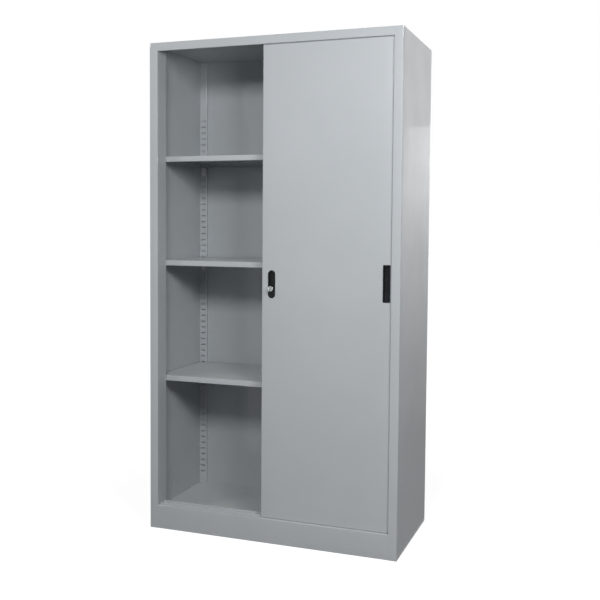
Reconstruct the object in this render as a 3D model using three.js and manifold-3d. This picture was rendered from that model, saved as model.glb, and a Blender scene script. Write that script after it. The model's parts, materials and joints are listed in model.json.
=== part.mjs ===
// Steel cupboard with two sliding doors, three shelves on slotted uprights and a push lock.
// Millimetres, +X to the right, +Y to the back, +Z up.
// The origin is on the floor, under the middle of the cabinet.
import * as THREE from 'three';
import * as BufferGeometryUtils from 'three/addons/utils/BufferGeometryUtils.js';
import Module from 'manifold-3d';

const wasm = await Module();
wasm.setup();

// Points of a mesh closer together than this are one point
const weldDistance = 0.0001;

// Cabinet, outside
const cabinetWidth = 950;
const cabinetDepth = 450;
const cabinetHeight = 1800;

// Folded sheet steel
const sheet = 1;
const bendRadius = 1;
const bendSteps = 2;
const backLip = 18;
const backPanelInset = 30;

// Front frame: two posts, a rail above the doors and a plinth below them
const postWidth = 32;
const postReturn = 64;
const railHeight = 30;
const railDoorGap = 2;
const plinthHeight = 88;
const plinthLip = 15;
const topRearDrop = 20;

// Floor pan behind the plinth, and the rail that closes the base at the back
const floorHeight = 60;
const floorFlange = 40;
const baseRailFlange = 25;

// Slotted uprights in the four corners
const frontUprightFlange = 14;
const rearUprightDepth = 8;
const rearUprightFlange = 12;
const slotPitch = 24.25;
const slotWidth = 17;
const slotHeight = 4;
const uprightSlotCount = 61;
const aboveUpperShelfSlotCount = 8;

// Shelves, as trays turned upside down, and the places where they hang
const upperShelfBottom = 1372.5;
const upperToMiddleSlotCount = 16;
const middleToLowerSlotCount = 18;
const shelfThickness = 20;
const shelfLip = 8;
const shelfSideClearance = 3;
const shelfEndClearance = 2.5;

// Shelf clips, each with two hooks in the slots of an upright
const clipSheet = 1.5;
const clipBend = 0.5;
const clipWidth = 15;
const clipTab = 12;
const clipFoot = 4.75;
const hookDrop = 4;
const hookWidth = 14;
const hookThickness = 2.5;
const toothHeight = 8;

// Clearances between pieces that rest on, or run past, each other
const restGap = 0.3;
const fitGap = 0.3;
const trackEndGap = 1;

// Doors
const doorRecess = 10;
const doorDepth = 22;
const doorSpacing = 4;
const doorOverlap = 58;
const doorJambGap = 2;
const doorFloorGap = 8;
const doorTopLap = 8;
const doorLip = 15;
const doorSkirtGap = 1.5;

// Upright stiffener behind each door face
const stiffenerWidth = 28;
const stiffenerDepth = 15;
const stiffenerFoot = 12;
const stiffenerEndGap = 20;

// Bottom track with one raised rail for each door
const trackBase = 1;
const trackMargin = 12;
const trackRailWidth = 3;
const trackRailHeight = 5;
const trackRailCrown = 0.8;

// Grooved door rollers, their axles and brackets
const rollerInset = 55;
const rollerRadius = 13;
const grooveRadius = 10;
const rollerWidth = 9;
const grooveFloor = 4;
const grooveMouth = 7;
const rollerHub = 1;
const hubRadius = 5.5;
const axleRadius = 3;
const axleHeadRadius = 4.5;
const axleHead = 1.2;
const bracketWall = 1.5;
const bracketBend = 0.3;
const bracketInside = 12;
const bracketHeight = 31;
const bracketLength = 36;
const bracketFoot = 2.2;
const flangeWindowLength = 32;
const flangeWindowWidth = 12;
const turnedFaces = 24;
const smallFaces = 12;

// Top guide channels, the nylon guides that run in them and the stops at their ends
const guideWidth = 12;
const guideLength = 40;
const guideHeight = 14;
const guideInset = 45;
const guideNose = 3;
const guideClearance = 1;
const channelWall = 1.5;
const channelDrop = 16;
const stopHeight = 13;

// Recessed finger pulls
const pullWidth = 26.5;
const pullHeight = 127.5;
const pullCentreHeight = 944.25;
const pullEdge = 2.5;
const pullDepth = 12;
const pullRim = 2.2;
const pullWall = 1.5;
const pullProud = 1.5;
const pullCorner = 3;
const cornerSteps = 4;

// Push lock: housing, retainer, plunger, core and key
const lockWidth = 27;
const lockHeight = 99;
const lockBelowPull = 13.75;
const lockEdge = 36.5;
const lockProud = 2;
const lockRim = 2;
const lockBodyDepth = 8;
const lockRecessDepth = 7;
const lockRecessMargin = 4;
const lockRecessHeight = 50;
const plungerDrop = 15.5;
const plungerRadius = 9;
const plungerChamfer = 1;
const plungerTravel = 10;
const plungerPressedProud = 2;
const boltRadius = 5;
const boltShortOfBack = 0.5;
const coreRadius = 6;
const coreDepth = 16;
const coreProud = 0.3;
const keywayWidth = 2.6;
const keywayHeight = 8.5;
const keywayDepth = 13;
const keyThickness = 2;
const keyBladeHeight = 7.6;
const keyBladeDepth = 12;
const keyBowLength = 14;
const keyBowHeight = 18;
const keyBowCorner = 5;
const keyBowGap = 1;
const keyHoleRadius = 2;
const retainerMargin = 6;
const retainerThickness = 1.5;
const strikeRadius = 6.5;

// How far cutting shapes run past what they cut
const overrun = 2;

// Places worked out from the sizes above
const halfWidth = cabinetWidth / 2;
const frontY = -cabinetDepth / 2;
const backY = cabinetDepth / 2;
const insideX = halfWidth - sheet;
const postInnerX = halfWidth - postWidth;
const postBackY = frontY + postReturn;
const backPanelY = backY - backPanelInset;
const rearUprightY = backPanelY - rearUprightDepth;
const ceilingZ = cabinetHeight - sheet;
const railBottomZ = cabinetHeight - railHeight;
const railLip = doorRecess - railDoorGap;
const slotX = (insideX + postInnerX) / 2;
const topSlotZ = upperShelfBottom - hookDrop + aboveUpperShelfSlotCount * slotPitch;
const middleShelfBottom = upperShelfBottom - upperToMiddleSlotCount * slotPitch;
const lowerShelfBottom = middleShelfBottom - middleToLowerSlotCount * slotPitch;
const doorWidth = postInnerX - doorJambGap + doorOverlap / 2;
const doorTravel = 2 * (postInnerX - doorJambGap) - doorWidth;
const doorOpenX = postInnerX - doorJambGap - doorWidth / 2;
const frontDoorY = frontY + doorRecess + doorDepth / 2;
const rearDoorY = frontDoorY + doorDepth + doorSpacing;
const doorBottomZ = plinthHeight + doorFloorGap;
const doorTopZ = railBottomZ + doorTopLap;
const trackTopZ = plinthHeight + trackBase;
const skirtBottomZ = trackTopZ + doorSkirtGap;
const railTopZ = trackTopZ + trackRailHeight;
const rollerZ = railTopZ + restGap + grooveRadius;
const rollerX = doorWidth / 2 - rollerInset;
const guideX = doorWidth / 2 - guideInset;
const doorFaceY = -doorDepth / 2;
const doorInnerY = doorFaceY + sheet;
const doorBackY = doorDepth / 2;
const lockX = -doorWidth / 2 + lockEdge;
const lockCentreHeight = pullCentreHeight - lockBelowPull;
const plungerZ = lockCentreHeight - plungerDrop;
const plungerFrontY = doorFaceY - lockProud - plungerPressedProud - plungerTravel;

// Materials
function finish(color, roughness, metalness) {
  return new THREE.MeshStandardMaterial({ color, roughness, metalness });
}
const greyPaint = () => finish(0xb9bdbe, 0.4, 0.1);
const zincSteel = () => finish(0xa9adb0, 0.4, 0.9);
const chrome = () => finish(0xd4d6d8, 0.2, 1);
const blackPlastic = () => finish(0x141416, 0.55, 0);
const whiteNylon = () => finish(0xe6e4dc, 0.6, 0);
const blackRubber = () => finish(0x1d1d1e, 0.85, 0);

// Solids: closed geometry in and out of the boolean library
function solid(geometry) {
  const bare = geometry.clone();
  bare.deleteAttribute('normal');
  bare.deleteAttribute('uv');
  const merged = BufferGeometryUtils.mergeVertices(bare, weldDistance);
  const vertProperties = new Float32Array(merged.attributes.position.array);
  const triVerts = new Uint32Array(merged.index.array);
  return new wasm.Manifold(new wasm.Mesh({ numProp: 3, vertProperties, triVerts }));
}

function geometryOf(manifold) {
  const mesh = manifold.getMesh();
  const geometry = new THREE.BufferGeometry();
  geometry.setAttribute('position', new THREE.BufferAttribute(new Float32Array(mesh.vertProperties), 3));
  geometry.setIndex(new THREE.BufferAttribute(new Uint32Array(mesh.triVerts), 1));
  geometry.computeVertexNormals();
  return geometry;
}

function joined(first, ...others) {
  let whole = solid(first);
  for (const other of others) {
    whole = whole.add(solid(other));
  }
  return geometryOf(whole);
}

function cut(geometry, cutters) {
  let whole = solid(geometry);
  for (const cutter of cutters) {
    whole = whole.subtract(solid(cutter));
  }
  return geometryOf(whole);
}

// The same geometry, with the corners of each triangle listed from its rightmost one
function listedFromRight(geometry) {
  const corners = Array.from(geometry.getIndex().array);
  const place = geometry.getAttribute('position');
  const listed = [];
  while (corners.length > 0) {
    const ring = corners.splice(0, 3);
    const reaches = ring.map((corner) => place.getX(corner));
    const first = reaches.indexOf(Math.max(...reaches));
    listed.push(...ring.slice(first), ...ring.slice(0, first));
  }
  geometry.setIndex(listed);
  return geometry;
}

// A box from its lowest to its highest corner
function box(x0, x1, y0, y1, z0, z1) {
  const geometry = new THREE.BoxGeometry(x1 - x0, y1 - y0, z1 - z0);
  geometry.translate((x0 + x1) / 2, (y0 + y1) / 2, (z0 + z1) / 2);
  return geometry;
}

// A flat outline, or a shape with holes, given a length along one of the axes
function extruded(outline, length) {
  const shape = Array.isArray(outline) ? new THREE.Shape(outline) : outline;
  const options = { depth: length, bevelEnabled: false, curveSegments: smallFaces };
  return new THREE.ExtrudeGeometry(shape, options);
}

// The outline is (x, y), and the prism runs from z0 to z1
function prismZ(outline, z0, z1) {
  const geometry = extruded(outline, z1 - z0);
  geometry.translate(0, 0, z0);
  return geometry;
}

// The outline is (y, z), and the prism runs from x0 to x1
function prismX(outline, x0, x1) {
  const geometry = extruded(outline, x1 - x0);
  const turn = new THREE.Matrix4();
  turn.makeBasis(new THREE.Vector3(0, 1, 0), new THREE.Vector3(0, 0, 1), new THREE.Vector3(1, 0, 0));
  geometry.applyMatrix4(turn);
  geometry.translate(x0, 0, 0);
  return geometry;
}

// The outline is (x, z), and the prism runs from y0 to y1
function prismY(outline, y0, y1) {
  const geometry = extruded(outline, y1 - y0);
  geometry.rotateX(Math.PI / 2);
  geometry.translate(0, y1, 0);
  return geometry;
}

// A turned piece about the Y axis: the profile is [radius, y] and closes on itself
function turned(profile, faces) {
  const points = profile.map(([radius, y]) => new THREE.Vector2(radius, y));
  if (THREE.ShapeUtils.area(points) < 0) {
    points.reverse();
  }
  points.push(points[0].clone());
  return new THREE.LatheGeometry(points, faces);
}

function cylinderAlongY(radius, y0, y1, faces) {
  const geometry = new THREE.CylinderGeometry(radius, radius, y1 - y0, faces);
  geometry.translate(0, (y0 + y1) / 2, 0);
  return geometry;
}

// The outline of a folded sheet: path is its outer face, and side is +1 where the sheet lies
// to the left of the path and -1 where it lies to the right. Corners are bent round.
function foldedSheet(path, thickness, bend, side) {
  const points = path.map(([u, v]) => new THREE.Vector2(u, v));
  const face = [];
  const other = [];
  const leftOf = (direction) => new THREE.Vector2(-direction.y, direction.x);
  const last = points.length - 1;
  points.forEach((point, index) => {
    if (index === 0 || index === last) {
      const from = index === 0 ? points[0] : points[last - 1];
      const to = index === 0 ? points[1] : points[last];
      const normal = leftOf(to.clone().sub(from).normalize());
      face.push(point);
      other.push(point.clone().addScaledVector(normal, side * thickness));
      return;
    }
    const before = point.clone().sub(points[index - 1]).normalize();
    const after = points[index + 1].clone().sub(point).normalize();
    const angle = Math.atan2(before.cross(after), before.dot(after));
    const turn = Math.sign(angle);
    const inside = turn * side;
    const radius = inside > 0 ? bend + thickness : bend;
    const start = point.clone().addScaledVector(before, -radius * Math.tan(Math.abs(angle) / 2));
    const centre = start.clone().addScaledVector(leftOf(before), turn * radius);
    for (let step = 0; step <= bendSteps; step += 1) {
      const direction = before.clone().rotateAround(new THREE.Vector2(), (angle * step) / bendSteps);
      const normal = leftOf(direction);
      face.push(centre.clone().addScaledVector(normal, -turn * radius));
      other.push(centre.clone().addScaledVector(normal, -turn * (radius - inside * thickness)));
    }
  });
  return [...face, ...other.reverse()];
}

// A rectangle with round corners, about (u, v)
function roundedRectangle(u, v, width, height, corner) {
  const shape = new THREE.Shape();
  const right = u + width / 2 - corner;
  const left = u - width / 2 + corner;
  const top = v + height / 2 - corner;
  const bottom = v - height / 2 + corner;
  const outline = [];
  const centres = [[right, top], [left, top], [left, bottom], [right, bottom]];
  centres.forEach(([cu, cv], quarter) => {
    for (let step = 0; step <= cornerSteps; step += 1) {
      const angle = ((quarter + step / cornerSteps) * Math.PI) / 2;
      outline.push(new THREE.Vector2(cu + corner * Math.cos(angle), cv + corner * Math.sin(angle)));
    }
  });
  shape.setFromPoints(outline);
  return shape;
}

// A stadium that stands upright, about (u, v)
function stadium(u, v, width, height) {
  const shape = new THREE.Shape();
  const radius = width / 2;
  const straight = height / 2 - radius;
  const outline = [];
  for (const [end, from] of [[1, 0], [-1, Math.PI]]) {
    for (let step = 0; step <= turnedFaces / 2; step += 1) {
      const angle = from + (step / (turnedFaces / 2)) * Math.PI;
      const across = u + radius * Math.cos(angle);
      const up = v + end * straight + radius * Math.sin(angle);
      outline.push(new THREE.Vector2(across, up));
    }
  }
  shape.setFromPoints(outline);
  return shape;
}

function named(name, geometry, material) {
  const mesh = new THREE.Mesh(geometry, material);
  mesh.name = name;
  return mesh;
}

// Carcass: side panels that fold round into the front posts
function sidePanel(side) {
  const path = [
    [side * (halfWidth - backLip), backY],
    [side * halfWidth, backY],
    [side * halfWidth, frontY],
    [side * postInnerX, frontY],
    [side * postInnerX, postBackY],
  ];
  return prismZ(foldedSheet(path, sheet, bendRadius, -side), 0, ceilingZ);
}

// Back panel, set in from the rear edges of the sides and the top
function backPanel() {
  return box(-insideX, insideX, backPanelY, backPanelY + sheet, 0, ceilingZ);
}

// Top panel: a lid over the side panels, folded down at the front into the rail above the doors
function topPanel() {
  const path = [
    [frontY + railLip, railBottomZ],
    [frontY, railBottomZ],
    [frontY, cabinetHeight],
    [backY, cabinetHeight],
    [backY, cabinetHeight - topRearDrop],
  ];
  const folded = prismX(foldedSheet(path, sheet, bendRadius, -1), -postInnerX, postInnerX);
  const lid = roundedRectangle(0, 0, cabinetWidth, cabinetDepth, bendRadius + sheet);
  return joined(folded, prismZ(lid, ceilingZ, cabinetHeight));
}

// Floor pan between the sides, with a flange down each side
function floorPan() {
  const path = [
    [-insideX, floorHeight - floorFlange],
    [-insideX, floorHeight],
    [insideX, floorHeight],
    [insideX, floorHeight - floorFlange],
  ];
  return prismY(foldedSheet(path, sheet, bendRadius, -1), postBackY, backPanelY);
}

// Plinth, folded back over the top to carry the door track, then down to the floor pan
function frontPlinth() {
  const path = [
    [frontY + plinthLip, 0],
    [frontY, 0],
    [frontY, plinthHeight],
    [postBackY, plinthHeight],
    [postBackY, floorHeight - sheet],
  ];
  return prismX(foldedSheet(path, sheet, bendRadius, -1), -postInnerX, postInnerX);
}

function rearBaseRail() {
  const top = floorHeight - sheet;
  const path = [
    [backPanelY - baseRailFlange, 0],
    [backPanelY, 0],
    [backPanelY, top],
    [backPanelY - baseRailFlange, top],
  ];
  const reach = insideX - sheet - bendRadius - fitGap;
  return prismX(foldedSheet(path, sheet, bendRadius, 1), -reach, reach);
}

// Bottom track: a flat strip on the plinth with a crowned rail under each door
function bottomDoorTrack() {
  const rail = (centre) => [
    [centre - trackRailWidth / 2, trackTopZ],
    [centre - trackRailWidth / 2, railTopZ - trackRailCrown],
    [centre - trackRailWidth / 2 + trackRailCrown, railTopZ],
    [centre + trackRailWidth / 2 - trackRailCrown, railTopZ],
    [centre + trackRailWidth / 2, railTopZ - trackRailCrown],
    [centre + trackRailWidth / 2, trackTopZ],
  ];
  const outline = [
    [frontDoorY - trackMargin, plinthHeight],
    [frontDoorY - trackMargin, trackTopZ],
    ...rail(frontDoorY),
    ...rail(rearDoorY),
    [rearDoorY + trackMargin, trackTopZ],
    [rearDoorY + trackMargin, plinthHeight],
  ];
  const reach = postInnerX - trackEndGap;
  return prismX(outline.map(([y, z]) => new THREE.Vector2(y, z)), -reach, reach);
}

// Top track: one channel for each door, hung under the top panel behind the rail
function topDoorTrack() {
  const inner = guideWidth / 2 + guideClearance;
  const webZ = ceilingZ - channelWall;
  const lipZ = ceilingZ - channelDrop;
  const lips = [frontDoorY, rearDoorY].flatMap((centre) => [centre - inner - channelWall, centre + inner]);
  const outline = [[lips[0], ceilingZ]];
  lips.forEach((y, index) => {
    if (index > 0) {
      outline.push([y, webZ]);
    }
    outline.push([y, lipZ], [y + channelWall, lipZ]);
    if (index < lips.length - 1) {
      outline.push([y + channelWall, webZ]);
    }
  });
  outline.push([lips[lips.length - 1] + channelWall, ceilingZ]);
  const reach = postInnerX - trackEndGap;
  return prismX(outline.map(([y, z]) => new THREE.Vector2(y, z)), -reach, reach);
}

// Uprights with a ladder of slots for the shelf clips
function slotCutters(side, faceY) {
  const x = side * slotX;
  return Array.from({ length: uprightSlotCount }, (_, slot) => {
    const z = topSlotZ - slot * slotPitch;
    return box(
      x - slotWidth / 2,
      x + slotWidth / 2,
      faceY - sheet - overrun,
      faceY + sheet + overrun,
      z - slotHeight / 2,
      z + slotHeight / 2,
    );
  });
}

function frontUpright(side) {
  const inner = postInnerX + sheet;
  const path = [
    [side * insideX, postBackY],
    [side * inner, postBackY],
    [side * inner, postBackY - frontUprightFlange],
  ];
  const strip = prismZ(foldedSheet(path, sheet, bendRadius, side), floorHeight, ceilingZ);
  return listedFromRight(cut(strip, slotCutters(side, postBackY)));
}

function rearUpright(side) {
  const path = [
    [side * insideX, rearUprightY],
    [side * postInnerX, rearUprightY],
    [side * postInnerX, backPanelY],
    [side * (postInnerX + rearUprightFlange), backPanelY],
  ];
  const strip = prismZ(foldedSheet(path, sheet, bendRadius, -side), floorHeight, ceilingZ);
  return listedFromRight(cut(strip, slotCutters(side, rearUprightY)));
}

// Shelves: folded down and under at the front and back, with a flange at each end
function shelf(bottom) {
  const top = bottom + shelfThickness;
  const front = postBackY + shelfEndClearance;
  const rear = rearUprightY - shelfEndClearance;
  const end = insideX - shelfSideClearance;
  const path = [
    [front + shelfLip, bottom],
    [front, bottom],
    [front, top],
    [rear, top],
    [rear, bottom],
    [rear - shelfLip, bottom],
  ];
  const tray = prismX(foldedSheet(path, sheet, bendRadius, -1), -end, end);
  const endFlange = (x0, x1) =>
    box(x0, x1, front + sheet + bendRadius, rear - sheet - bendRadius, bottom + sheet, top - sheet / 2);
  return joined(tray, endFlange(-end, sheet - end), endFlange(end - sheet, end));
}

// Shelf clips: a plate against the upright, a tab under the shelf and two hooks in the slots.
// End is -1 at the front uprights and +1 at the rear ones.
function shelfClip(side, end, shelfBottom) {
  const faceY = end < 0 ? postBackY : rearUprightY;
  const away = (distance) => faceY - end * distance;
  const tabZ = shelfBottom - restGap;
  const x = side * slotX;
  const plateBottom = shelfBottom - hookDrop - slotPitch - clipFoot;
  const path = [
    [away(restGap), plateBottom],
    [away(restGap), tabZ],
    [away(restGap + clipTab), tabZ],
  ];
  const bracket = prismX(foldedSheet(path, clipSheet, clipBend, end), x - clipWidth / 2, x + clipWidth / 2);
  const behind = -sheet - restGap;
  const pieces = [bracket];
  for (const hook of [0, 1]) {
    const slotZ = shelfBottom - hookDrop - hook * slotPitch;
    const hookBottom = slotZ - slotHeight / 2 + restGap;
    const nearY = away(restGap + clipSheet / 2);
    const tipY = away(behind - clipSheet);
    const toothY = away(behind);
    const x0 = x - hookWidth / 2;
    const x1 = x + hookWidth / 2;
    const hookTop = hookBottom + hookThickness;
    pieces.push(box(x0, x1, Math.min(nearY, tipY), Math.max(nearY, tipY), hookBottom, hookTop));
    const toothSides = [Math.min(toothY, tipY), Math.max(toothY, tipY)];
    pieces.push(box(x0, x1, ...toothSides, hookTop - toothHeight, hookTop));
  }
  return joined(...pieces);
}

// Doors, about the middle of their thickness: a tray with lips all round the back. The face runs
// on below the bottom flange as a skirt that hides the rail.
function doorPanel(cutters) {
  const half = doorWidth / 2;
  const path = [
    [doorLip - half, doorBackY],
    [-half, doorBackY],
    [-half, doorFaceY],
    [half, doorFaceY],
    [half, doorBackY],
    [half - doorLip, doorBackY],
  ];
  const wrapped = prismZ(foldedSheet(path, sheet, bendRadius, 1), doorBottomZ, doorTopZ);
  const inside = half - sheet / 2;
  const flange = (z0, z1) => box(-inside, inside, doorFaceY + sheet / 2, doorBackY, z0, z1);
  const lip = (z0, z1) => box(-inside, inside, doorBackY - sheet, doorBackY, z0, z1);
  const skirtEnd = half - sheet - bendRadius;
  const tray = joined(
    wrapped,
    box(-skirtEnd, skirtEnd, doorFaceY, doorInnerY, skirtBottomZ, doorBottomZ + sheet),
    flange(doorBottomZ, doorBottomZ + sheet),
    flange(doorTopZ - sheet, doorTopZ),
    lip(doorBottomZ, doorBottomZ + doorLip),
    lip(doorTopZ - doorLip, doorTopZ),
  );
  return cut(tray, [...cutters, ...rollerWindows()]);
}

// Openings in the bottom flange through which the rollers reach the rail
function rollerWindows() {
  return [-rollerX, rollerX].map((x) =>
    box(
      x - flangeWindowLength / 2,
      x + flangeWindowLength / 2,
      -flangeWindowWidth / 2,
      flangeWindowWidth / 2,
      doorBottomZ - overrun,
      doorBottomZ + sheet + overrun,
    ),
  );
}

function doorStiffener() {
  const crest = stiffenerWidth / 2;
  const foot = crest + stiffenerFoot;
  const low = doorInnerY + sheet;
  const high = doorInnerY + stiffenerDepth;
  const path = [[-foot, low], [-crest, low], [-crest, high], [crest, high], [crest, low], [foot, low]];
  const outline = foldedSheet(path, sheet, bendRadius, -1);
  return prismZ(outline, doorBottomZ + stiffenerEndGap, doorTopZ - stiffenerEndGap);
}

// The cup of a finger pull, and the window in the door that it fills
function pullWindow(x) {
  const width = pullWidth - 2 * pullRim + 2 * fitGap;
  const height = pullHeight - 2 * pullRim + 2 * fitGap;
  const outline = roundedRectangle(x, pullCentreHeight, width, height, pullCorner);
  return prismY(outline, doorFaceY - overrun, doorInnerY + overrun);
}

function fingerPull(x) {
  const width = pullWidth - 2 * pullRim;
  const height = pullHeight - 2 * pullRim;
  const outline = (shrink) =>
    roundedRectangle(x, pullCentreHeight, width - 2 * shrink, height - 2 * shrink, pullCorner - shrink / 2);
  const rim = roundedRectangle(x, pullCentreHeight, pullWidth, pullHeight, pullCorner);
  const front = doorFaceY - pullProud;
  const bezel = prismY(rim, front, doorFaceY);
  const cup = prismY(outline(0), front + pullProud / 2, doorFaceY + pullDepth);
  const hollow = prismY(outline(pullWall), front - overrun, doorFaceY + pullDepth - pullWall);
  return cut(joined(bezel, cup), [hollow]);
}

// Push lock
function lockWindow() {
  const width = lockWidth - 2 * lockRim + 2 * fitGap;
  const height = lockHeight - 2 * lockRim + 2 * fitGap;
  return prismY(stadium(lockX, lockCentreHeight, width, height), doorFaceY - overrun, doorInnerY + overrun);
}

function lockHousing() {
  const front = doorFaceY - lockProud;
  const back = doorFaceY + lockBodyDepth;
  const bezel = prismY(stadium(lockX, lockCentreHeight, lockWidth, lockHeight), front, doorFaceY);
  const bodyOutline = stadium(lockX, lockCentreHeight, lockWidth - 2 * lockRim, lockHeight - 2 * lockRim);
  const body = prismY(bodyOutline, front + lockProud / 2, back);
  const recessWidth = lockWidth - 2 * lockRecessMargin;
  const recessZ = lockCentreHeight + lockHeight / 2 - lockRecessMargin - lockRecessHeight / 2;
  const recessOutline = stadium(lockX, recessZ, recessWidth, lockRecessHeight);
  const recess = prismY(recessOutline, front - overrun, front + lockRecessDepth);
  const bore = cylinderAlongY(plungerRadius + fitGap, front - overrun, back + overrun, turnedFaces);
  bore.translate(lockX, 0, plungerZ);
  return cut(joined(bezel, body), [recess, bore]);
}

function lockRetainer() {
  const width = lockWidth - 2 * lockRim;
  const height = lockHeight - 2 * lockRim;
  const outer = stadium(lockX, lockCentreHeight, width + 2 * retainerMargin, height + 2 * retainerMargin);
  const hole = stadium(lockX, lockCentreHeight, width + 2 * fitGap, height + 2 * fitGap);
  const back = doorInnerY + retainerThickness;
  return cut(prismY(outer, doorInnerY, back), [prismY(hole, doorInnerY - overrun, back + overrun)]);
}

function lockPlunger() {
  const bodyBack = doorFaceY + lockBodyDepth;
  const boltTip = doorBackY - boltShortOfBack;
  const bore = coreRadius + fitGap;
  const boreEnd = plungerFrontY + coreDepth + fitGap;
  return turned(
    [
      [0, boreEnd],
      [bore, boreEnd],
      [bore, plungerFrontY],
      [plungerRadius - plungerChamfer, plungerFrontY],
      [plungerRadius, plungerFrontY + plungerChamfer],
      [plungerRadius, bodyBack],
      [boltRadius, bodyBack],
      [boltRadius, boltTip - plungerChamfer],
      [boltRadius - plungerChamfer, boltTip],
      [0, boltTip],
    ],
    turnedFaces,
  );
}

function lockCore() {
  const front = plungerFrontY - coreProud;
  const core = cylinderAlongY(coreRadius, front, plungerFrontY + coreDepth, turnedFaces);
  const keyway = box(
    -keywayWidth / 2,
    keywayWidth / 2,
    front - overrun,
    front + keywayDepth,
    -keywayHeight / 2,
    keywayHeight / 2,
  );
  return cut(core, [keyway]);
}

function lockKey() {
  const front = plungerFrontY - coreProud;
  const bowFront = front - keyBowGap - keyBowLength;
  const bowBack = front - keyBowGap;
  const bow = roundedRectangle((bowFront + bowBack) / 2, 0, keyBowLength, keyBowHeight, keyBowCorner);
  const ringHole = new THREE.Path();
  ringHole.absarc(bowFront + keyBowCorner, 0, keyHoleRadius, 0, 2 * Math.PI, true);
  bow.holes.push(ringHole);
  const thickness = [-keyThickness / 2, keyThickness / 2];
  const half = keyBladeHeight / 2;
  const blade = box(...thickness, bowBack - keyBowCorner / 2, front + keyBladeDepth, -half, half);
  return joined(prismX(bow, ...thickness), blade);
}

// Holes in the face of the rear door that take the bolt, with the doors shut and pushed together
function strikeCutters() {
  const shut = -doorWidth / 2 + doorTravel + lockEdge;
  const together = -doorWidth / 2 + lockEdge;
  return [shut, together].map((x) => {
    const hole = cylinderAlongY(strikeRadius, doorFaceY - overrun, doorInnerY + overrun, smallFaces);
    hole.translate(x, 0, plungerZ);
    return hole;
  });
}

// Rollers turn on a riveted axle in a bracket that stands on the bottom flange
function roller() {
  const half = rollerWidth / 2;
  const bore = axleRadius + fitGap;
  return turned(
    [
      [bore, -half - rollerHub],
      [bore, half + rollerHub],
      [hubRadius, half + rollerHub],
      [hubRadius, half],
      [rollerRadius, half],
      [rollerRadius, grooveMouth / 2],
      [grooveRadius, grooveFloor / 2],
      [grooveRadius, -grooveFloor / 2],
      [rollerRadius, -grooveMouth / 2],
      [rollerRadius, -half],
      [hubRadius, -half],
      [hubRadius, -half - rollerHub],
    ],
    turnedFaces,
  );
}

function rollerAxle() {
  const cheek = bracketInside / 2 + bracketWall;
  const end = cheek + axleHead;
  return turned(
    [
      [0, -end],
      [axleHeadRadius, -end],
      [axleHeadRadius, -cheek],
      [axleRadius, -cheek],
      [axleRadius, cheek],
      [axleHeadRadius, cheek],
      [axleHeadRadius, end],
      [0, end],
    ],
    smallFaces,
  );
}

function rollerBracket() {
  const cheek = bracketInside / 2 + bracketWall;
  const footZ = doorBottomZ + sheet + bracketWall;
  const topZ = doorBottomZ + sheet + bracketHeight;
  const foot = cheek + bracketFoot;
  const nearSide = [[-foot, footZ], [-cheek, footZ], [-cheek, topZ]];
  const farSide = [[cheek, topZ], [cheek, footZ], [foot, footZ]];
  const path = [...nearSide, ...farSide];
  const outline = foldedSheet(path, bracketWall, bracketBend, -1);
  const bracket = prismX(outline, -bracketLength / 2, bracketLength / 2);
  const axleHole = cylinderAlongY(axleRadius + fitGap, -foot, foot, smallFaces);
  axleHole.translate(0, 0, rollerZ);
  return cut(bracket, [axleHole]);
}

// Nylon guide on the top flange of a door, with a tapered nose at each end
function topGuide() {
  const half = guideLength / 2;
  const side = guideWidth / 2;
  const outline = [
    [-half, -side + guideNose],
    [-half + guideNose, -side],
    [half - guideNose, -side],
    [half, -side + guideNose],
    [half, side - guideNose],
    [half - guideNose, side],
    [-half + guideNose, side],
    [-half, side - guideNose],
  ];
  return prismZ(outline.map(([x, y]) => new THREE.Vector2(x, y)), doorTopZ, doorTopZ + guideHeight);
}

// Rubber stop at the end of a top channel, where the guide of a shut door meets it
function trackStop(side, doorY) {
  const guideEnd = doorOpenX + guideX + guideLength / 2 + restGap;
  const outer = postInnerX - trackEndGap;
  const ends = side > 0 ? [guideEnd, outer] : [-outer, -guideEnd];
  const top = ceilingZ - channelWall;
  const half = guideWidth / 2 + guideClearance;
  return box(...ends, doorY - half, doorY + half, top - stopHeight, top);
}

// One door with its running gear, about its own middle. Pull is +1 for a pull at the right edge.
function door(prefix, pull, cutters) {
  const group = new THREE.Group();
  const pullX = pull * (doorWidth / 2 - pullEdge - pullWidth / 2);
  group.add(named(`${prefix}_panel`, doorPanel([...cutters, pullWindow(pullX)]), greyPaint()));
  group.add(named(`${prefix}_stiffener`, doorStiffener(), greyPaint()));
  group.add(named(`${prefix}_finger_pull`, fingerPull(pullX), blackPlastic()));
  for (const [end, side] of [['left', -1], ['right', 1]]) {
    const bracket = named(`${prefix}_roller_bracket_${end}`, rollerBracket(), zincSteel());
    bracket.position.set(side * rollerX, 0, 0);
    const axle = named(`${prefix}_roller_axle_${end}`, rollerAxle(), zincSteel());
    axle.position.set(side * rollerX, 0, rollerZ);
    const wheel = named(`${prefix}_roller_${end}`, roller(), whiteNylon());
    wheel.position.set(side * rollerX, 0, rollerZ);
    const guide = named(`${prefix}_top_guide_${end}`, topGuide(), whiteNylon());
    guide.position.set(side * guideX, 0, 0);
    group.add(bracket, axle, wheel, guide);
  }
  return group;
}

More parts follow.
